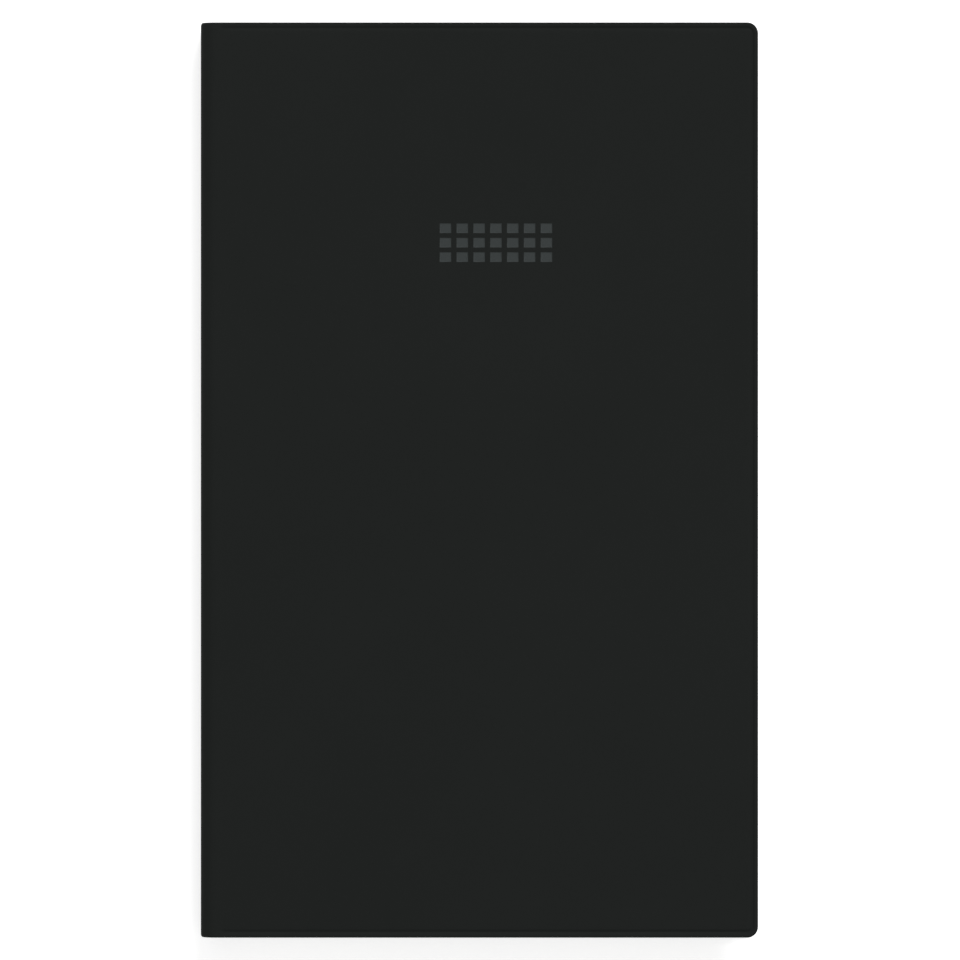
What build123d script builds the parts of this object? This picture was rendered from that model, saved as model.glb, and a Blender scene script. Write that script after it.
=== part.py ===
from build123d import *
import os

# Pocket planner lying on its back cover, in millimetres.
# X runs from the spine to the fore-edge, Y from tail to head, Z from back to front.

# Cover
cover_width = 92.8
cover_height = 152.3
fore_corner_radius = 1.8
skin_thickness = 0.35
board_thickness = 0.8
lining_thickness = 0.25

# Weld around the cover's open edges
weld_width = 2.0
weld_line_inset = 0.95
weld_line_width = 0.8
weld_line_depth = 0.18
skin_edge_radius = 0.25
board_clearance = 0.15
least_corner_radius = 0.3

# Mark pressed into the front cover: rows of plain small cells
mark_columns = 7
mark_rows = 3
mark_cell_width = 2.0
mark_cell_height = 1.7
mark_gap_across = 0.8
mark_gap_down = 0.7
mark_depth = 0.09
mark_head_distance = 36.65
mark_side_shift = 2.78

# Soft folds between the covers and the spine
fold_radius = 2.4
fold_end = 0.1
joggle_width = 1.0

# Pockets inside both covers
pocket_gap = 0.45
card_thickness = 0.35
flap_thickness = 0.25
flap_width = 63.0
flap_inset = 0.3
flap_line_inset = 0.9
flap_line_width = 0.7
flap_line_depth = 0.1
flap_edge_radius = 0.4
thumb_notch_radius = 9.0
card_side_clearance = 0.6
card_corner_radius = 2.0

# Page block
section_count = 8
sheets_per_section = 4
leaf_thickness = 0.085
leaf_pitch = 0.1
head_overhang = 3.2
fore_overhang = 3.3

# Sewing and gauze on the spine of the page block
hinge_clearance = 0.1
hinge_setback = 0.4
gauze_thickness = 0.15
stitch_clearance = 0.03
stitch_diameter = 0.25
stitch_count = 5
stitch_length = 9.0
stitch_sides = 8
gauze_end_inset = 6.0

# How far a cut runs past an open edge, and how closely edges are picked
overcut = 1.0
pick = 0.01

# Heights that follow from the stack
panel_thickness = skin_thickness + board_thickness + lining_thickness
weld_z = skin_thickness + board_thickness / 2
card_z = panel_thickness + (pocket_gap - card_thickness) / 2
page_seat = panel_thickness + pocket_gap + flap_thickness
section_thickness = 2 * sheets_per_section * leaf_pitch
block_thickness = section_count * section_thickness
total_thickness = 2 * page_seat + block_thickness
middle_z = total_thickness / 2

# Places along X that follow from the stack
spine_x = -cover_width / 2
fore_x = cover_width / 2
fold_x = spine_x + fold_radius
panel_x = fold_x + fold_end
web_x = panel_x + joggle_width
hinge_x = fold_x + hinge_setback
gauze_x = hinge_x + hinge_clearance
stitch_x = gauze_x + gauze_thickness + stitch_clearance
crest_x = stitch_x + stitch_diameter + stitch_clearance
page_fore_x = fore_x - fore_overhang
page_height = cover_height - 2 * head_overhang
pages_x = crest_x + section_thickness / 2


def slab(x0, x1, y0, y1, z0, z1):
    """Plain block between two corners."""
    middle = ((x0 + x1) / 2, (y0 + y1) / 2, (z0 + z1) / 2)
    return Pos(*middle) * Box(x1 - x0, y1 - y0, z1 - z0)


def leaf_outline(x0, x1, height, radius):
    """Flat outline whose two fore-edge corners are rounded."""
    sketch = Pos((x0 + x1) / 2, 0) * Rectangle(x1 - x0, height)
    return fillet(sketch.vertices().group_by(Axis.X)[-1], radius)


def cover_outline(inset, x0):
    """Cover outline moved inward on its three welded sides."""
    radius = max(fore_corner_radius - inset, least_corner_radius)
    return leaf_outline(x0, fore_x - inset, cover_height - 2 * inset, radius)


def plate(outline, z0, z1):
    """Outline raised from one height to another."""
    return Pos(0, 0, z0) * extrude(outline, z1 - z0)


def welded_line(inset, width, depth, z, x0):
    """Shallow pressed line that follows three sides of the cover, cut upward from one height."""
    outer = cover_outline(inset - width / 2, x0)
    inner = cover_outline(inset + width / 2, x0 - overcut)
    return plate(outer - inner, z, z + depth)


def weld_rim(inset, x0, z0, z1):
    """Rim along the three welded sides, open toward the spine."""
    ring = cover_outline(inset, x0) - cover_outline(inset + weld_width, x0 - overcut)
    return plate(ring, z0, z1)


def welded_edges(body, z, free_x):
    """Edges of the three welded sides at one height."""
    level = body.edges().filter_by_position(Axis.Z, z - pick, z + pick)
    return [edge for edge in level if edge.center().X > free_x + pick]


def cover_skin():
    """Outer film of the back cover, turned up at its welded edges."""
    body = plate(cover_outline(0, panel_x), 0, skin_thickness)
    body = body + weld_rim(0, web_x, skin_thickness, weld_z)
    body = fillet(welded_edges(body, 0, panel_x), skin_edge_radius)
    return body - welded_line(weld_line_inset, weld_line_width, weld_line_depth, 0, web_x)


def pressed_mark():
    """Shallow cells to sink into the outer face of the front cover."""
    across = mark_cell_width + mark_gap_across
    down = mark_cell_height + mark_gap_down
    centre = Pos(mark_side_shift, cover_height / 2 - mark_head_distance, total_thickness)
    cell = Box(mark_cell_width, mark_cell_height, 2 * mark_depth)
    return [centre * place * cell for place in GridLocations(across, down, mark_columns, mark_rows)]


def cover_board():
    """Stiff board between the two films of the back cover."""
    x0 = web_x + lining_thickness + board_clearance
    outline = cover_outline(weld_width + board_clearance, x0)
    return plate(outline, skin_thickness, skin_thickness + board_thickness)


def cover_lining():
    """Inner film of the back cover, stepped down to the outer film beside the fold."""
    under = panel_thickness - lining_thickness
    half = cover_height / 2
    web_half = half - weld_width
    body = plate(cover_outline(0, web_x), under, panel_thickness)
    body = body + weld_rim(0, web_x, weld_z, under)
    body = body + slab(web_x, web_x + lining_thickness, -web_half, web_half, skin_thickness, under)
    foot_top = skin_thickness + lining_thickness
    return body + slab(panel_x, web_x, -half, half, skin_thickness, foot_top)


def pocket_flap():
    """Pocket film on the back lining, welded on three sides, with a thumb notch on its free edge."""
    low = panel_thickness
    under = low + pocket_gap
    top = under + flap_thickness
    free_x = fore_x - flap_width
    outline = cover_outline(flap_inset, free_x)
    body = plate(outline, under, top) + weld_rim(flap_inset, free_x, low, under)
    body = fillet(welded_edges(body, top, free_x), flap_edge_radius)
    notch = Pos(free_x, 0, under) * Cylinder(thumb_notch_radius, 2 * pocket_gap + 2 * flap_thickness)
    inset = flap_inset + flap_line_inset
    line_z = top - flap_line_depth
    line = welded_line(inset, flap_line_width, flap_line_depth, line_z, free_x - overcut)
    return body - notch - line


def card_leaf():
    """Stiff end leaf of the page block, tucked into the back pocket."""
    inset = flap_inset + weld_width + card_side_clearance
    height = min(page_height, cover_height - 2 * inset)
    fore = min(page_fore_x, fore_x - inset)
    outline = leaf_outline(stitch_x, fore, height, card_corner_radius)
    return plate(outline, card_z, card_z + card_thickness)


def fold_profile(outer, inner):
    """Quarter turn of film between the back cover and the spine, with a short flat at each end."""
    middle = (outer + inner) / 2
    quarter = Circle(outer) - Circle(inner)
    quarter = quarter & (Pos(-outer, -outer) * Rectangle(2 * outer, 2 * outer))
    low_end = Pos(fold_end / 2, -middle) * Rectangle(fold_end, outer - inner)
    side_end = Pos(-middle, fold_end / 2) * Rectangle(outer - inner, fold_end)
    return Pos(fold_x, fold_radius) * (quarter + low_end + side_end)


def along_spine(profile, height):
    """Profile drawn across the spine, stretched evenly to head and tail."""
    return extrude(Plane.XZ * profile, height / 2, both=True)


def end_edges(film):
    """Edges of a film at its head and tail."""
    return [edge for edge in film.edges() if abs(edge.center().Y) > cover_height / 2 - pick]


def on_fold_face(edge):
    """Whether an edge lies on the outer face of the fold."""
    middle = edge.center()
    return (middle - Vector(fold_x, middle.Y, fold_radius)).length > fold_radius - pick


def fold_film():
    """Both films of the cover turning from the back cover to the spine."""
    seam = fold_radius - skin_thickness
    skin = along_spine(fold_profile(fold_radius, seam), cover_height)
    skin = fillet([edge for edge in end_edges(skin) if on_fold_face(edge)], skin_edge_radius)
    lining = along_spine(fold_profile(seam, seam - lining_thickness), cover_height)
    return Compound(children=[skin, lining])


def spine_film(x0, thickness):
    """Flat film of the spine between the two folds."""
    half = cover_height / 2
    low = fold_radius + fold_end
    return slab(x0, x0 + thickness, -half, half, low, total_thickness - low)


def spine_skin():
    """Outer film of the spine, rounded over at head and tail."""
    body = spine_film(spine_x, skin_thickness)
    return fillet([edge for edge in end_edges(body) if edge.center().X < spine_x + pick], skin_edge_radius)


def folded_sheet(index, centre_z):
    """One sheet folded once, the index counting inward from the outside of its section."""
    outer = section_thickness / 2 - (leaf_pitch - leaf_thickness) / 2 - index * leaf_pitch
    inner = outer - leaf_thickness
    bend = Circle(outer) - Circle(inner)
    bend = bend & (Pos(-outer, 0) * Rectangle(2 * outer, 4 * outer))
    length = page_fore_x - pages_x
    leaf = Rectangle(length, leaf_thickness)
    offset = (outer + inner) / 2
    upper = Pos(length / 2, offset) * leaf
    lower = Pos(length / 2, -offset) * leaf
    profile = Pos(pages_x, centre_z) * (bend + upper + lower)
    return along_spine(profile, page_height)


def section(number):
    """Section of nested folded sheets, numbered from the front cover down."""
    centre_z = total_thickness - page_seat - (number - 0.5) * section_thickness
    sheets = [folded_sheet(i, centre_z) for i in range(sheets_per_section)]
    return Compound(children=sheets)


def spine_gauze():
    """Gauze strip on the spine of the back half of the page block, reaching down over the card."""
    half = page_height / 2 - gauze_end_inset
    high = middle_z - stitch_clearance
    return slab(gauze_x, gauze_x + gauze_thickness, -half, half, card_z, high)


def sewing_thread():
    """Row of stitches behind the gauze of the back half of the page block."""
    stitches = []
    pitch = (page_height - 2 * gauze_end_inset) / stitch_count
    low = page_seat + section_thickness / 2
    high = middle_z - section_thickness / 2
    profile = RegularPolygon(stitch_diameter / 2, stitch_sides)
    for i in range(stitch_count):
        y = (i - (stitch_count - 1) / 2) * pitch
        for end in (-1, 1):
            place = Pos(stitch_x + stitch_diameter / 2, y + end * stitch_length / 2)
            stitches.append(place * plate(profile, low, high))
    return Compound(children=stitches)


def to_front(shape):
    """Back-half piece turned into its twin on the front half."""
    return mirror(shape, Plane.XY.offset(middle_z))


os.makedirs("parts", exist_ok=True)

back_pieces = {
    "cover_skin": cover_skin(),
    "cover_board": cover_board(),
    "cover_lining": cover_lining(),
    "pocket_flap": pocket_flap(),
    "card_leaf": card_leaf(),
    "fold_film": fold_film(),
    "spine_gauze": spine_gauze(),
    "sewing_thread": sewing_thread(),
}

pieces = {}
for name, shape in back_pieces.items():
    pieces["back_" + name] = shape
    pieces["front_" + name] = to_front(shape)
pieces["front_cover_skin"] = pieces["front_cover_skin"] - pressed_mark()
pieces["spine_skin"] = spine_skin()
pieces["spine_lining"] = spine_film(spine_x + skin_thickness, lining_thickness)
for number in range(1, section_count + 1):
    pieces["section_" + str(number)] = section(number)

for name, shape in pieces.items():
    export_step(shape, "parts/" + name + ".step")
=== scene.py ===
"""Looks of the pocket planner: welded cover film, sewn page sections, pockets and card ends."""
import math

import bmesh
import bpy
from mathutils import Matrix, Vector


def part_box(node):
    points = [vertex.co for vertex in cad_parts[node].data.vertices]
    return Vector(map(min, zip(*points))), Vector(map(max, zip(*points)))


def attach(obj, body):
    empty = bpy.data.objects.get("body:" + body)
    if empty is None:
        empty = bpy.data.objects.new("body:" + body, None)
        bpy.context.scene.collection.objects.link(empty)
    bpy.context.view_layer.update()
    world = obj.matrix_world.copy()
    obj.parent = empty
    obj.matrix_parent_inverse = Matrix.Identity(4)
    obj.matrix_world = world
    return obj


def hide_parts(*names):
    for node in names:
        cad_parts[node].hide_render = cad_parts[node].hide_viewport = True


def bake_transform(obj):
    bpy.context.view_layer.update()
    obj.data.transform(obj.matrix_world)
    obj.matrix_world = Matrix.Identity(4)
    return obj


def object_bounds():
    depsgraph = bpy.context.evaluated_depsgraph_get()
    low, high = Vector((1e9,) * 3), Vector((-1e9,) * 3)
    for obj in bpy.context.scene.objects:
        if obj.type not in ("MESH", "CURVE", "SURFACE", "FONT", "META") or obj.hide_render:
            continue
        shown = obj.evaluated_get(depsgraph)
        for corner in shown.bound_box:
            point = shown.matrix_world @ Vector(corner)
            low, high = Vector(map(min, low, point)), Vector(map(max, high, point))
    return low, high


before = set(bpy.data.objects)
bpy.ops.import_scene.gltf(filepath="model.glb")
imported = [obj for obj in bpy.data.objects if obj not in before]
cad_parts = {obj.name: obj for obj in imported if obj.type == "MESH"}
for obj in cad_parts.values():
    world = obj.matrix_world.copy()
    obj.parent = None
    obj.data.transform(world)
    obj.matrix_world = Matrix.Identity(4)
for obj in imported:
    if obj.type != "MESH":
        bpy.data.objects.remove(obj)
cad_low, cad_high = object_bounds()

MM = 0.001

# Sizes read from the frame
spine_x = cad_low.x
fore_x = cad_high.x
half_height = cad_high.y
thickness = cad_high.z
panel_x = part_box("back_cover_skin")[0].x
weld_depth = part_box("back_cover_skin")[1].z
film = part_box("spine_skin")[1].x - spine_x
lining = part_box("spine_lining")[1].x - spine_x - film
page_low, page_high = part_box("section_5")
left_page_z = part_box("section_4")[0].z
right_page_z = page_high.z

# Page sections of each half of the block
half_sections = {"front": range(1, 5), "back": range(5, 9)}

# Meshes
merge_distance = 0.0001 * MM
sliver_distance = 0.00001 * MM
sharp_angle = math.radians(38.0)

# Cover film
fold_end = 0.1 * MM
fold_radius = panel_x - fold_end - spine_x
fold_x = spine_x + fold_radius
web_x = panel_x + 1.0 * MM
corner_radius = 1.8 * MM
least_radius = 0.02 * MM
corner_steps = 10
edge_radius = 0.16 * MM
edge_steps = 6
spine_edge_reach = 0.6 * MM
spine_edge_drop = 0.33 * MM
weld_width = 2.0 * MM
weld_line_inset = 0.95 * MM
weld_line_width = 0.95 * MM
weld_line_depth = 0.2 * MM
weld_line_steps = 12
weld_line_run_in = 0.6 * MM
flat_inset = 2.2 * MM
flat_border = 0.2 * MM
fold_steps = 20

# Points at each end of a welded path that lie on the plain film beside the fold,
# and points that lie before the weld line begins
plain_points = 2
run_in_points = 3

# Pressed mark on the front: plain small squares, like the days of a month sheet.
# Each step gives how far a loop lies inside its square and how deep.
mark_centre = Vector((2.78 * MM, half_height - 36.65 * MM))
mark_columns = 7
mark_rows = 3
mark_cell = Vector((2.0 * MM, 1.7 * MM))
mark_gap = Vector((0.8 * MM, 0.7 * MM))
mark_steps = (
    (-0.15 * MM, 0.0),
    (0.0, 0.0),
    (0.05 * MM, 0.015 * MM),
    (0.12 * MM, 0.075 * MM),
    (0.2 * MM, 0.09 * MM),
    (0.3 * MM, 0.09 * MM),
)
mark_tint_from = 2

# Glue and gauze on the back of the page sections
glue_clearance = 0.02 * MM
glue_rise = 0.3 * MM
glue_steps = 10
glue_end_inset = 0.4 * MM
crease_thickness = 0.05 * MM
crease_reach = 1.0 * MM
crease_steps = 60
weave_pitch = 0.8 * MM

# Printed pages: a block of lines for each day, its hours, and the month's days in the heading
print_lift = 0.003 * MM
ink_thickness = 0.003 * MM
number_steps = 4
page_margin = 6.0 * MM
days_per_page = 4
left_first_day = 12
right_first_day = left_first_day + days_per_page
hours_per_day = 4
first_hour = 8
hour_stride = 3
rule_pitch = 6.2 * MM
hour_rule_width = 0.11 * MM
lines_per_day = hours_per_day + 1
day_pitch = lines_per_day * rule_pitch
day_rule_width = 0.3 * MM
day_first = 57.0 * MM
day_size = 6.0 * MM
day_inset = 4.0 * MM
day_drop = 3.4 * MM
hour_size = 2.2 * MM
hour_inset = 2.0 * MM
hour_lift = 1.5 * MM
month_days = 31
month_y = 63.0 * MM
month_step = 2.3 * MM
month_size = 1.7 * MM
bar_sign = "_"
bar_size = 2.6 * MM
bar_lift = 0.5 * MM

# Floor, light and camera
floor_reach = 3.0
floor_gap = 0.02 * MM
floor_tone = 0.82
floor_glow = 0.66
ambient = 0.36
key_place = Vector((0.7, 1.5, 1.95))
key_size = 1.2
key_power = 47.2
fill_place = Vector((-0.4, -1.6, 2.2))
fill_size = 1.8
fill_power = 6.0
lens = 300.0
sensor = 36.0
view_width = 159.73 * MM
side_shift = 0.13 * MM
head_shift = 0.012 * MM
near_clip = 0.01


def new_group(name, inputs, outputs):
    """Empty shader group with named number inputs and named outputs."""
    tree = bpy.data.node_groups.new(name, "ShaderNodeTree")
    for label, value in inputs.items():
        socket = tree.interface.new_socket(label, in_out="INPUT", socket_type="NodeSocketFloat")
        socket.default_value = value
    for label in outputs:
        tree.interface.new_socket(label, in_out="OUTPUT", socket_type="NodeSocketFloat")
    start = tree.nodes.new("NodeGroupInput")
    end = tree.nodes.new("NodeGroupOutput")
    return tree, start, end


def fill_socket(tree, socket, value):
    """Links another socket to a socket, or sets it to a plain value."""
    if isinstance(value, bpy.types.NodeSocket):
        tree.links.new(value, socket)
    else:
        socket.default_value = value


def add_node(tree, kind, **settings):
    """Shader node with its settings; a setting named in0, in1 and so on fills that input."""
    node = tree.nodes.new(kind)
    for key, value in settings.items():
        if key.startswith("in") and key[2:].isdigit():
            fill_socket(tree, node.inputs[int(key[2:])], value)
        else:
            setattr(node, key, value)
    return node


def math_node(tree, operation, first, second=0.0, third=0.0):
    """Result of one sum on numbers or sockets."""
    node = add_node(tree, "ShaderNodeMath", operation=operation, in0=first, in1=second, in2=third)
    return node.outputs[0]


def noise(tree, place, scale, detail=3.0, roughness=0.55):
    """Noise value at a place."""
    node = add_node(tree, "ShaderNodeTexNoise", in0=place)
    node.inputs["Detail"].default_value = detail
    node.inputs["Roughness"].default_value = roughness
    fill_socket(tree, node.inputs["Scale"], scale)
    return node.outputs[0]


def object_place(tree):
    """Place on the planner, in metres."""
    return add_node(tree, "ShaderNodeTexCoord").outputs["Object"]


def stretched_place(tree, factors):
    """Place on the planner, drawn out along its axes."""
    node = add_node(tree, "ShaderNodeVectorMath", operation="MULTIPLY", in0=object_place(tree))
    node.inputs[1].default_value = factors
    return node.outputs[0]


def map_range(tree, value, low, high):
    """Value between a low and a high one, moved to the range from nothing to one and held there."""
    node = add_node(tree, "ShaderNodeMapRange", in0=value, in1=low, in2=high)
    return node.outputs[0]


def mix_colour(tree, factor, first, second):
    """Colour between two others."""
    node = add_node(tree, "ShaderNodeMix", data_type="RGBA", in0=factor, in6=first, in7=second)
    return node.outputs[2]


def opaque(red, green, blue):
    """Colour with full cover."""
    return (red, green, blue, 1.0)


def grain_group():
    """Fine pebbled grain of a calendered film: its relief, and a mask from that relief that is dark in
    its pits, for painted shade there.
    """
    fine_ratio = 2.3
    fine_share = 0.5
    hollow, crest = 0.2, 1.1
    tree, start, end = new_group("film_grain", {"Pebbles per metre": 5200.0}, ("Height", "Shade"))
    pebbles = start.outputs[0]
    place = object_place(tree)
    pebble = add_node(tree, "ShaderNodeTexVoronoi", feature="SMOOTH_F1", in0=place)
    tree.links.new(pebbles, pebble.inputs["Scale"])
    fine = noise(tree, place, math_node(tree, "MULTIPLY", pebbles, fine_ratio))
    height = math_node(tree, "MULTIPLY_ADD", fine, fine_share, pebble.outputs["Distance"])
    tree.links.new(height, end.inputs["Height"])
    # Pit shade mask: dark where the relief is low, used to paint shade into the pits of the grain
    tree.links.new(map_range(tree, height, hollow, crest), end.inputs["Shade"])
    return tree


def handling_group():
    """Wide soft marks left by hands and by rubbing."""
    clean, rubbed = 0.35, 0.7
    tree, start, end = new_group("handling", {"Marks per metre": 34.0}, ("Smear",))
    smear = noise(tree, object_place(tree), start.outputs[0], detail=4.0, roughness=0.6)
    tree.links.new(map_range(tree, smear, clean, rubbed), end.inputs["Smear"])
    return tree


def fibre_group():
    """Felted fibres of paper and board."""
    along_grain = (1.0, 0.35, 1.0)
    across_grain = (0.3, 1.0, 1.0)
    cloud_ratio = 0.06
    fibre_share = 0.35
    cloud_share = 0.3
    darkest, lightest = 0.3, 0.7
    tree, start, end = new_group("paper_fibre", {"Fibres per metre": 2600.0}, ("Height", "Tone"))
    fibres = start.outputs[0]
    first = noise(tree, stretched_place(tree, along_grain), fibres, roughness=0.65)
    second = noise(tree, stretched_place(tree, across_grain), fibres, roughness=0.65)
    height = math_node(tree, "ADD", first, second)
    tree.links.new(height, end.inputs["Height"])
    cloud = noise(tree, object_place(tree), math_node(tree, "MULTIPLY", fibres, cloud_ratio))
    cloud = math_node(tree, "MULTIPLY", cloud, cloud_share)
    tone = math_node(tree, "MULTIPLY_ADD", height, fibre_share, cloud)
    tree.links.new(map_range(tree, tone, darkest, lightest), end.inputs["Tone"])
    return tree


groups = {
    "grain": grain_group(),
    "handling": handling_group(),
    "fibre": fibre_group(),
}


def place_group(tree, name, **values):
    """One shared effect placed in a material with its own values."""
    node = tree.nodes.new("ShaderNodeGroup")
    node.node_tree = groups[name]
    for label, value in values.items():
        node.inputs[label.replace("_", " ")].default_value = value
    return node


def new_material(name, roughness, specular):
    """Material with its shader's plain numbers set."""
    material = bpy.data.materials.new(name)
    material.use_nodes = True
    shader = material.node_tree.nodes["Principled BSDF"]
    shader.inputs["Roughness"].default_value = roughness
    shader.inputs["Specular IOR Level"].default_value = specular
    return material, material.node_tree, shader


def add_bump(tree, shader, height, strength, distance):
    """Fine relief on a shader."""
    bump = add_node(tree, "ShaderNodeBump")
    bump.inputs["Strength"].default_value = strength
    bump.inputs["Distance"].default_value = distance
    tree.links.new(height, bump.inputs["Height"])
    tree.links.new(bump.outputs[0], shader.inputs["Normal"])


def film_material(name, dark, light, roughness, specular, pebbles, relief):
    """Soft black film with fine grain, painted shade in the pits of the grain, and faint marks of
    handling.
    """
    pit_shade_share = 0.7
    smear_share = 0.12
    smear_polish = -0.04
    grain_dulling = 0.06
    relief_depth = 0.02 * MM
    material, tree, shader = new_material(name, roughness, specular)
    grain = place_group(tree, "grain", Pebbles_per_metre=pebbles)
    pit_shade = grain.outputs["Shade"]
    smear = place_group(tree, "handling").outputs["Smear"]
    # Colour: painted shade in the grain's pits from the pit shade mask, plus the handling marks
    tone = math_node(tree, "MULTIPLY", pit_shade, pit_shade_share)
    tone = math_node(tree, "MULTIPLY_ADD", smear, smear_share, tone)
    tree.links.new(mix_colour(tree, tone, dark, light), shader.inputs["Base Color"])
    rough = math_node(tree, "MULTIPLY_ADD", smear, smear_polish, roughness)
    # Roughness also follows the pit shade mask: rougher on the crests of the grain
    rough = math_node(tree, "MULTIPLY_ADD", pit_shade, grain_dulling, rough)
    tree.links.new(rough, shader.inputs["Roughness"])
    add_bump(tree, shader, grain.outputs["Height"], relief, relief_depth)
    return material


def leaf_edges(tree):
    """Colour of the cut leaf edges: thin streaks along the leaves in wider soft bands."""
    leaf_stretch = (60.0, 60.0, 16000.0)
    band_stretch = (25.0, 25.0, 2400.0)
    darkest, lightest = 0.7, 1.3
    leaves = noise(tree, stretched_place(tree, leaf_stretch), 1.0, detail=2.0, roughness=0.7)
    bands = noise(tree, stretched_place(tree, band_stretch), 1.0, detail=1.0, roughness=0.5)
    streak = map_range(tree, math_node(tree, "ADD", leaves, bands), darkest, lightest)
    return mix_colour(tree, streak, opaque(0.56, 0.53, 0.45), opaque(0.88, 0.86, 0.78))


def paper_material():
    """Smooth writing paper, with the cut edges of its leaves on its sides."""
    least_facing = 0.9
    relief = 0.12
    relief_depth = 0.02 * MM
    material, tree, shader = new_material("writing_paper", roughness=0.8, specular=0.25)
    fibre = place_group(tree, "fibre")
    upright = add_node(tree, "ShaderNodeTexCoord").outputs["Normal"]
    split = add_node(tree, "ShaderNodeSeparateXYZ", in0=upright)
    facing = math_node(tree, "ABSOLUTE", split.outputs[2])
    facing = math_node(tree, "GREATER_THAN", facing, least_facing)
    sheet = mix_colour(tree, fibre.outputs["Tone"], opaque(0.80, 0.775, 0.69), opaque(0.86, 0.84, 0.76))
    tree.links.new(mix_colour(tree, facing, leaf_edges(tree), sheet), shader.inputs["Base Color"])
    add_bump(tree, shader, fibre.outputs["Height"], relief, relief_depth)
    return material


def fibre_material(name, dark, light, roughness, fibres, relief):
    """Board, card, glue, ink or thread: felted fibres in one tone."""
    relief_depth = 0.03 * MM
    material, tree, shader = new_material(name, roughness, specular=0.2)
    fibre = place_group(tree, "fibre", Fibres_per_metre=fibres)
    tree.links.new(mix_colour(tree, fibre.outputs["Tone"], dark, light), shader.inputs["Base Color"])
    add_bump(tree, shader, fibre.outputs["Height"], relief, relief_depth)
    return material


def gauze_material():
    """Open plain weave, stiff with paste."""
    fibre_share = 0.2
    relief = 0.5
    relief_depth = 0.05 * MM
    material, tree, shader = new_material("pasted_gauze", roughness=0.85, specular=0.2)
    fibre = place_group(tree, "fibre", Fibres_per_metre=5200.0)
    split = add_node(tree, "ShaderNodeSeparateXYZ", in0=object_place(tree))
    over = math_node(tree, "PINGPONG", split.outputs[1], weave_pitch / 2)
    under = math_node(tree, "PINGPONG", split.outputs[2], weave_pitch / 2)
    thread = map_range(tree, math_node(tree, "MAXIMUM", over, under), 0.0, weave_pitch / 2)
    colour = mix_colour(tree, thread, opaque(0.47, 0.44, 0.37), opaque(0.76, 0.73, 0.65))
    tree.links.new(colour, shader.inputs["Base Color"])
    height = math_node(tree, "MULTIPLY_ADD", fibre.outputs["Height"], fibre_share, thread)
    add_bump(tree, shader, height, relief, relief_depth)
    return material


cover_film = film_material(
    "cover_film",
    dark=opaque(0.0112, 0.0126, 0.0119),
    light=opaque(0.0143, 0.0159, 0.0151),
    roughness=0.75,
    specular=0.05,
    pebbles=5200.0,
    relief=0.10,
)
lining_film = film_material(
    "lining_film",
    dark=opaque(0.0060, 0.0064, 0.0064),
    light=opaque(0.0095, 0.0100, 0.0100),
    roughness=0.62,
    specular=0.1,
    pebbles=3400.0,
    relief=0.16,
)
mark_film = film_material(
    "pressed_mark",
    dark=opaque(0.0322, 0.0374, 0.0374),
    light=opaque(0.0414, 0.0476, 0.0476),
    roughness=0.6,
    specular=0.1,
    pebbles=5200.0,
    relief=0.08,
)
writing_paper = paper_material()
grey_board = fibre_material(
    "grey_board",
    dark=opaque(0.20, 0.19, 0.17),
    light=opaque(0.30, 0.28, 0.25),
    roughness=0.9,
    fibres=1500.0,
    relief=0.4,
)
end_card = fibre_material(
    "end_card",
    dark=opaque(0.66, 0.63, 0.55),
    light=opaque(0.74, 0.71, 0.63),
    roughness=0.75,
    fibres=2200.0,
    relief=0.2,
)
sewing_thread = fibre_material(
    "sewing_thread",
    dark=opaque(0.62, 0.60, 0.55),
    light=opaque(0.82, 0.80, 0.75),
    roughness=0.7,
    fibres=9000.0,
    relief=0.5,
)
number_ink = fibre_material(
    "number_ink",
    dark=opaque(0.045, 0.055, 0.07),
    light=opaque(0.07, 0.08, 0.10),
    roughness=0.7,
    fibres=4000.0,
    relief=0.1,
)
day_rule_ink = fibre_material(
    "day_rule_ink",
    dark=opaque(0.14, 0.16, 0.19),
    light=opaque(0.18, 0.20, 0.23),
    roughness=0.7,
    fibres=4000.0,
    relief=0.1,
)
hour_rule_ink = fibre_material(
    "hour_rule_ink",
    dark=opaque(0.51, 0.535, 0.53),
    light=opaque(0.57, 0.59, 0.585),
    roughness=0.7,
    fibres=4000.0,
    relief=0.1,
)
dried_glue = fibre_material(
    "dried_glue",
    dark=opaque(0.66, 0.62, 0.52),
    light=opaque(0.76, 0.73, 0.64),
    roughness=0.5,
    fibres=1800.0,
    relief=0.2,
)
pasted_gauze = gauze_material()

node_finish = {
    "cover_board": grey_board,
    "cover_lining": lining_film,
    "spine_lining": lining_film,
    "pocket_flap": lining_film,
    "card_leaf": end_card,
    "spine_gauze": pasted_gauze,
    "sewing_thread": sewing_thread,
}


def finish_nodes():
    """Gives every piece that is shown as it was built its own finish."""
    for name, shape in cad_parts.items():
        kind = name.replace("back_", "").replace("front_", "")
        if name.startswith("section"):
            finish = writing_paper
        else:
            finish = node_finish.get(kind, cover_film)
        shape.data.materials.clear()
        shape.data.materials.append(finish)


def new_piece(name, shape, finishes):
    """Object made from a finished mesh, smooth but for its sharp edges."""
    bmesh.ops.remove_doubles(shape, verts=shape.verts, dist=merge_distance)
    bmesh.ops.dissolve_degenerate(shape, dist=sliver_distance, edges=shape.edges)
    bmesh.ops.recalc_face_normals(shape, faces=shape.faces)
    mesh = bpy.data.meshes.new(name)
    shape.to_mesh(mesh)
    shape.free()
    for finish in finishes:
        mesh.materials.append(finish)
    mesh.shade_smooth()
    mesh.set_sharp_from_angle(angle=sharp_angle)
    piece = bpy.data.objects.new(name, mesh)
    bpy.context.scene.collection.objects.link(piece)
    return piece


def corner(centre_x, centre_y, radius, start):
    """Quarter circle of points from a start angle."""
    turns = [start + math.pi / 2 * i / corner_steps for i in range(corner_steps + 1)]
    return [(centre_x + radius * math.cos(a), centre_y + radius * math.sin(a)) for a in turns]


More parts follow.
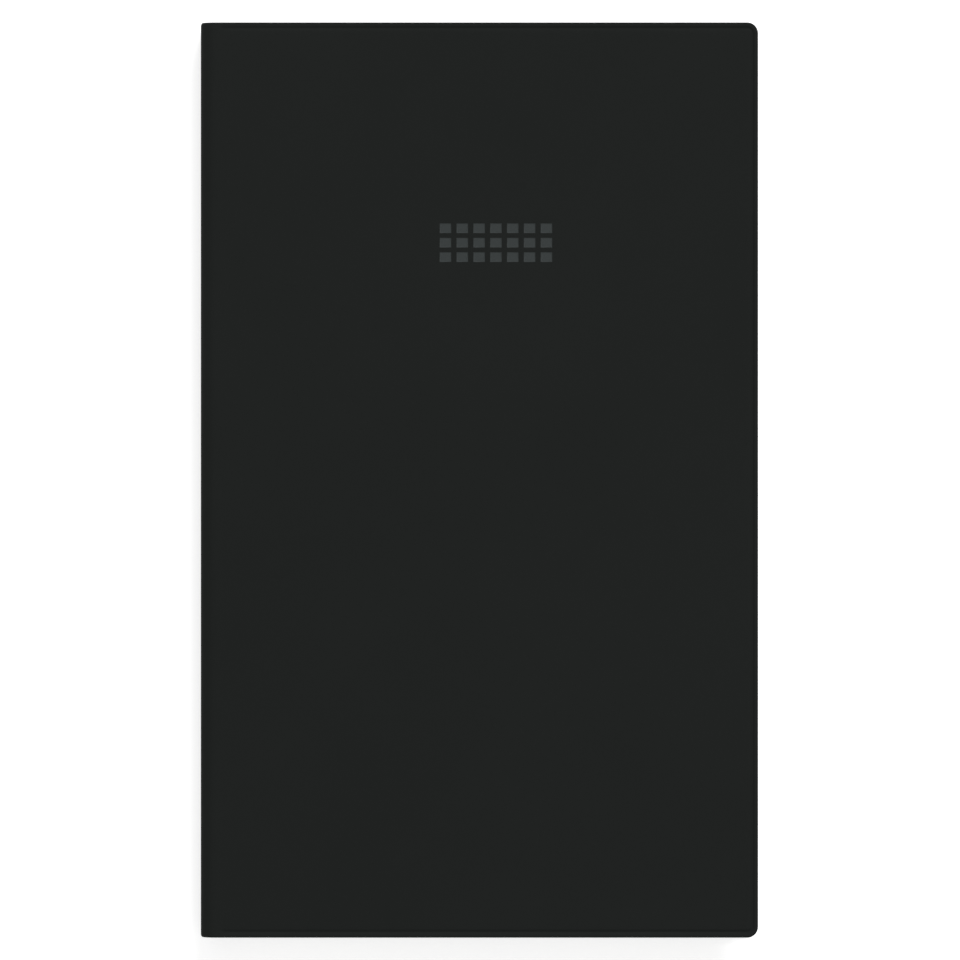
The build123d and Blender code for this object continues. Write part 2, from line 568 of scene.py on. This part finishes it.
def welded_path(inset):
    """Line around a cover's tail, fore-edge and head, that far in from its edge."""
    radius = max(corner_radius - inset, least_radius)
    side_y = half_height - inset
    x = fore_x - inset - radius
    y = side_y - radius
    places = (panel_x, web_x, web_x, web_x + weld_line_run_in)
    tail = [(place, -side_y) for place in places]
    head = [(place, side_y) for place in reversed(places)]
    return tail + corner(x, -y, radius, -math.pi / 2) + corner(x, y, radius, 0.0) + head


def edge_curve(reach, drop):
    """Inset and depth around a rounded edge, from its side to its face."""
    turns = [math.pi / 2 * i / edge_steps for i in range(edge_steps + 1)]
    return [(reach * (1 - math.cos(a)), drop * (1 - math.sin(a))) for a in turns]


def weld_line():
    """Inset and depth across the pressed weld line."""
    line = []
    for i in range(weld_line_steps + 1):
        share = i / weld_line_steps
        inset = weld_line_inset + (share - 0.5) * weld_line_width
        line.append((inset, weld_line_depth * math.sin(math.pi * share) ** 2))
    return line


def face_z(side, depth):
    """Height of a point that far under the outer face of a cover."""
    return depth if side == "back" else thickness - depth


def cell_loops():
    """Corner loops of the pressed squares, one list of loops for each square."""
    cells = []
    pitch = mark_cell + mark_gap
    for row in range(mark_rows):
        for column in range(mark_columns):
            middle = mark_centre + Vector((
                (column - (mark_columns - 1) / 2) * pitch.x,
                (row - (mark_rows - 1) / 2) * pitch.y,
            ))
            loops = []
            for shrink, depth in mark_steps:
                w = mark_cell.x / 2 - shrink
                h = mark_cell.y / 2 - shrink
                corners = ((-w, -h), (w, -h), (w, h), (-w, h))
                loops.append([(middle.x + u, middle.y + v, depth) for u, v in corners])
            cells.append(loops)
    return cells


def press_cells(shape, side):
    """Sinks the pressed squares into a cover and gives back their outer loops."""
    outer = []
    for loops in cell_loops():
        rings = []
        for loop in loops:
            rings.append([shape.verts.new((x, y, face_z(side, depth))) for x, y, depth in loop])
        for number, (upper, lower) in enumerate(zip(rings, rings[1:])):
            for i in range(len(upper)):
                wall = shape.faces.new((upper[i], upper[i - 1], lower[i - 1], lower[i]))
                wall.material_index = 1 if number >= mark_tint_from else 0
        shape.faces.new(rings[-1]).material_index = 1
        outer.append([(x, y) for x, y, _ in loops[0]])
    return outer


def fill_flat(shape, loops, z):
    """Flat face inside the first loop, open inside the others."""
    edges = []
    for loop in loops:
        points = [shape.verts.new((x, y, z)) for x, y in loop]
        edges += [shape.edges.new((a, b)) for a, b in zip(points, points[1:] + points[:1])]
    bmesh.ops.triangle_fill(shape, use_beauty=True, edges=edges, normal=(0, 0, 1))


def skin_profile():
    """Inset, depth, depth near the fold and number of points near the fold, across a cover's edge."""
    profile = [
        (weld_width, film, film, plain_points),
        (weld_width, weld_depth, film, plain_points),
        (0.0, weld_depth, film, plain_points),
    ]
    profile += [(inset, depth, depth, 0) for inset, depth in edge_curve(edge_radius, edge_radius)]
    profile += [(inset, depth, 0.0, run_in_points) for inset, depth in weld_line()]
    profile += [(flat_inset - flat_border, 0.0, 0.0, 0), (flat_inset, 0.0, 0.0, 0)]
    return profile


def cover_skin(side):
    """Outer film of one cover: rounded turned edge, pressed weld line and flat face."""
    shape = bmesh.new()
    rings = []
    for inset, depth, end_depth, end_count in skin_profile():
        path = welded_path(inset)
        last = len(path) - 1
        depths = [end_depth if min(i, last - i) < end_count else depth for i in range(len(path))]
        rings.append([shape.verts.new((x, y, face_z(side, d))) for (x, y), d in zip(path, depths)])
    for first, second in zip(rings, rings[1:]):
        for i in range(len(first) - 1):
            shape.faces.new((first[i], first[i + 1], second[i + 1], second[i]))
    shape.faces.new(rings[0])
    shape.faces.new([ring[0] for ring in rings] + [ring[-1] for ring in reversed(rings)])
    border = []
    for point in welded_path(flat_inset):
        if point not in border:
            border.append(point)
    marks = press_cells(shape, side) if side == "front" else []
    fill_flat(shape, [border] + marks, face_z(side, 0.0))
    piece = new_piece(side + "_skin_film", shape, (cover_film, mark_film))
    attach(piece, side + "_cover")
    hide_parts(side + "_cover_skin")


def film_strip(name, path, sections, finish):
    """Closed strip of film along places and outward directions across the spine, one section at each."""
    shape = bmesh.new()
    columns = []
    for (x, z, out_x, out_z), section in zip(path, sections):
        columns.append([shape.verts.new((x - out_x * d, y, z - out_z * d)) for y, d in section])
    for first, second in zip(columns, columns[1:]):
        for i in range(len(first)):
            shape.faces.new((first[i - 1], first[i], second[i], second[i - 1]))
    shape.faces.new(columns[0])
    shape.faces.new(columns[-1])
    return new_piece(name, shape, (finish,))


def fold_path(side):
    """Places and outward directions around the fold between a cover and the spine."""
    flip = 1 if side == "back" else -1
    path = [(panel_x, face_z(side, 0.0), 0.0, -flip)]
    for i in range(fold_steps + 1):
        turn = math.pi / 2 * i / fold_steps
        x = fold_x - fold_radius * math.sin(turn)
        z = face_z(side, fold_radius * (1 - math.cos(turn)))
        path.append((x, z, -math.sin(turn), -flip * math.cos(turn)))
    path.append((spine_x, face_z(side, fold_radius + fold_end), -1.0, 0.0))
    return path


def skin_section(share):
    """Outer film from tail to head, its edges rounding over more toward the spine."""
    reach = edge_radius + share * (spine_edge_reach - edge_radius)
    drop = edge_radius + share * (spine_edge_drop - edge_radius)
    profile = edge_curve(reach, drop) + [(reach + flat_border, 0.0)]
    tail = [(-half_height + inset, depth) for inset, depth in profile]
    head = [(half_height - inset, depth) for inset, depth in reversed(profile)]
    return [(-half_height, film)] + tail + head + [(half_height, film)]


def lining_section():
    """Inner film from tail to head."""
    inner = film + lining
    return [(-half_height, inner), (-half_height, film), (half_height, film), (half_height, inner)]


def soft_spine():
    """Film of the spine and of the two folds that join it to the covers."""
    low_z = fold_radius + fold_end
    flat = [(spine_x, low_z, -1.0, 0.0), (spine_x, thickness - low_z, -1.0, 0.0)]
    spine = film_strip("spine_film", flat, [skin_section(1.0)] * 2, cover_film)
    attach(spine, "spine")
    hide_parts("spine_skin")
    shares = [0.0] + [i / fold_steps for i in range(fold_steps + 1)] + [1.0]
    outer_sections = [skin_section(share) for share in shares]
    inner_sections = [lining_section()] * len(shares)
    for side in ("back", "front"):
        path = fold_path(side)
        outer = film_strip(side + "_fold_outer", path, outer_sections, cover_film)
        inner = film_strip(side + "_fold_inner", path, inner_sections, lining_film)
        for piece in (outer, inner):
            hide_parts(side + "_fold_film")
            if side == "back":
                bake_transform(piece)
            else:
                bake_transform(piece)


def along_spine(shape, outline, half_length):
    """Closed bar of one outline in X and Z, evenly to head and tail."""
    ends = [[shape.verts.new((x, y, z)) for x, z in outline] for y in (-half_length, half_length)]
    for i in range(len(outline)):
        shape.faces.new((ends[0][i - 1], ends[0][i], ends[1][i], ends[1][i - 1]))
    for end in ends:
        shape.faces.new(end)


def spine_glue(side):
    """Glue between the gauze and the page sections, hollowed where each fold sits in it."""
    gauze_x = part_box(side + "_spine_gauze")[1].x
    boxes = [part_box("section_" + str(number)) for number in half_sections[side]]
    fold_reach = (boxes[0][1].z - boxes[0][0].z) / 2
    centre_x = boxes[0][0].x + fold_reach
    hollow = fold_reach + glue_clearance
    fronts = []
    for low, high in sorted(boxes, key=lambda box: box[0].z):
        centre_z = (low.z + high.z) / 2
        for i in range(glue_steps + 1):
            rise = glue_rise * (2 * i / glue_steps - 1)
            fronts.append((centre_x - math.sqrt(hollow ** 2 - rise ** 2), centre_z + rise))
    outline = [(gauze_x, fronts[0][1])] + fronts + [(gauze_x, fronts[-1][1])]
    shape = bmesh.new()
    along_spine(shape, outline, page_high.y - glue_end_inset)
    piece = new_piece(side + "_spine_glue", shape, (dried_glue,))
    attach(piece, side + "_block")


def gauze_crease():
    """Thin strip of gauze where the two halves of the page block part."""
    gauze_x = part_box("back_spine_gauze")[0].x
    middle_z = thickness / 2
    heights = [middle_z + crease_reach * (2 * i / crease_steps - 1) for i in range(crease_steps + 1)]
    outline = [(gauze_x - crease_thickness, z) for z in heights]
    outline += [(gauze_x, z) for z in reversed(heights)]
    shape = bmesh.new()
    along_spine(shape, outline, page_high.y - glue_end_inset)
    piece = new_piece("gauze_crease", shape, (pasted_gauze,))
    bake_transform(piece)


def number_mesh(text, size):
    """Mesh of one printed number."""
    curve = bpy.data.curves.new("number", "FONT")
    curve.body = text
    curve.size = size
    curve.align_x = "CENTER"
    curve.align_y = "CENTER"
    curve.extrude = ink_thickness / 2
    curve.resolution_u = number_steps
    holder = bpy.data.objects.new("number", curve)
    bpy.context.scene.collection.objects.link(holder)
    bpy.context.view_layer.update()
    mesh = bpy.data.meshes.new_from_object(holder.evaluated_get(bpy.context.evaluated_depsgraph_get()))
    bpy.data.objects.remove(holder)
    bpy.data.curves.remove(curve)
    return mesh


def day_entries(first_day, facing_down):
    """Text, place and size of each number on one page: days, their hours, and the month's days above."""
    entries = []
    day_x = page_high.x - page_margin - day_inset
    hour_x = page_low.x + page_margin + hour_inset
    for i in range(days_per_page):
        block_y = day_first - i * day_pitch
        entries.append((str(first_day + i), day_x, block_y - day_drop, day_size))
        for line in range(hours_per_day):
            hour_y = block_y - (line + 1) * rule_pitch + hour_lift
            entries.append((str(first_hour + hour_stride * line), hour_x, hour_y, hour_size))
    for day in range(1, month_days + 1):
        share = (day - (month_days + 1) / 2) * month_step
        x = (page_low.x + page_high.x) / 2 + (-share if facing_down else share)
        entries.append((str(day), x, month_y, month_size))
        if first_day <= day < first_day + days_per_page:
            entries.append((bar_sign, x, month_y + bar_lift, bar_size))
    return entries


def print_numbers(shape, first_day, z, facing_down):
    """Adds the numbers of one page to its print."""
    turn = Matrix.Rotation(math.pi if facing_down else 0.0, 4, "Y")
    for text, x, y, size in day_entries(first_day, facing_down):
        mesh = number_mesh(text, size)
        mesh.transform(Matrix.Translation((x, y, z)) @ turn)
        shape.from_mesh(mesh)
        bpy.data.meshes.remove(mesh)


def print_rules(shape, z):
    """Adds the straight lines of one page to its print, bold for the days and fine for the hours."""
    left = page_low.x + page_margin
    right = page_high.x - page_margin
    for line in range(days_per_page * lines_per_day + 1):
        bold = line % lines_per_day == 0
        width = day_rule_width if bold else hour_rule_width
        place = Matrix.Translation(((left + right) / 2, day_first - line * rule_pitch, z))
        size = Matrix.Diagonal((right - left, width, ink_thickness, 1.0))
        points = bmesh.ops.create_cube(shape, size=1.0, matrix=place @ size)["verts"]
        for face in {face for point in points for face in point.link_faces}:
            face.material_index = 1 if bold else 2


def page_print(name, body, first_day, z, facing_down):
    """Everything printed on one page, as a single piece."""
    shape = bmesh.new()
    print_numbers(shape, first_day, z, facing_down)
    print_rules(shape, z)
    piece = new_piece(name, shape, (number_ink, day_rule_ink, hour_rule_ink))
    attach(piece, body)


def seen_rays(tree, strength):
    """Strength for what the eye, a reflection or glass sees, and nothing for other light."""
    path = add_node(tree, "ShaderNodeLightPath")
    seen = math_node(tree, "MAXIMUM", path.outputs["Is Camera Ray"], path.outputs["Is Glossy Ray"])
    seen = math_node(tree, "MAXIMUM", seen, path.outputs["Is Transmission Ray"])
    return math_node(tree, "MULTIPLY", seen, strength)


def white_stage():
    """Pale floor that shows white to the eye and still takes the planner's shadow."""
    mesh = bpy.data.meshes.new("floor")
    near, far = -floor_reach, floor_reach
    corners = [(near, near, 0), (far, near, 0), (far, far, 0), (near, far, 0)]
    mesh.from_pydata(corners, [], [(0, 1, 2, 3)])
    floor = bpy.data.objects.new("floor", mesh)
    floor.location.z = cad_low.z - floor_gap
    bpy.context.scene.collection.objects.link(floor)
    material, tree, shader = new_material("floor", roughness=0.9, specular=0.1)
    shader.inputs["Base Color"].default_value = opaque(floor_tone, floor_tone, floor_tone)
    glow = add_node(tree, "ShaderNodeEmission")
    tree.links.new(seen_rays(tree, floor_glow), glow.inputs["Strength"])
    both = add_node(tree, "ShaderNodeAddShader", in0=shader.outputs[0], in1=glow.outputs[0])
    tree.links.new(both.outputs[0], tree.nodes["Material Output"].inputs["Surface"])
    mesh.materials.append(material)


def white_world():
    """White surround to look at, and a softer one to light the planner."""
    world = bpy.data.worlds.new("surround")
    world.use_nodes = True
    tree = world.node_tree
    strength = math_node(tree, "ADD", seen_rays(tree, 1.0 - ambient), ambient)
    tree.links.new(strength, tree.nodes["Background"].inputs["Strength"])
    tree.nodes["Background"].inputs["Color"].default_value = opaque(1.0, 1.0, 1.0)
    bpy.context.scene.world = world


def soft_lamp(name, place, size, power):
    """Square studio lamp aimed at the planner."""
    lamp = bpy.data.lights.new(name, "AREA")
    lamp.size = size
    lamp.energy = power
    holder = bpy.data.objects.new(name, lamp)
    holder.location = place
    holder.rotation_euler = (-place).to_track_quat("-Z", "Y").to_euler()
    bpy.context.scene.collection.objects.link(holder)


def photo_camera():
    """Camera straight above the front cover, six pixels to the millimetre."""
    camera = bpy.data.cameras.new("camera")
    camera.lens = lens
    camera.sensor_width = sensor
    camera.clip_start = near_clip
    holder = bpy.data.objects.new("camera", camera)
    holder.location = (side_shift, head_shift, thickness + view_width * lens / sensor)
    bpy.context.scene.collection.objects.link(holder)
    bpy.context.scene.camera = holder


finish_nodes()
cover_skin("back")
cover_skin("front")
soft_spine()
spine_glue("back")
spine_glue("front")
gauze_crease()
page_print("left_page_print", "section_4", left_first_day, left_page_z - print_lift, True)
page_print("right_page_print", "section_5", right_first_day, right_page_z + print_lift, False)

white_stage()
white_world()
soft_lamp("key_lamp", key_place, key_size, key_power)
soft_lamp("fill_lamp", fill_place, fill_size, fill_power)
photo_camera()
bpy.context.scene.view_settings.view_transform = "Standard"
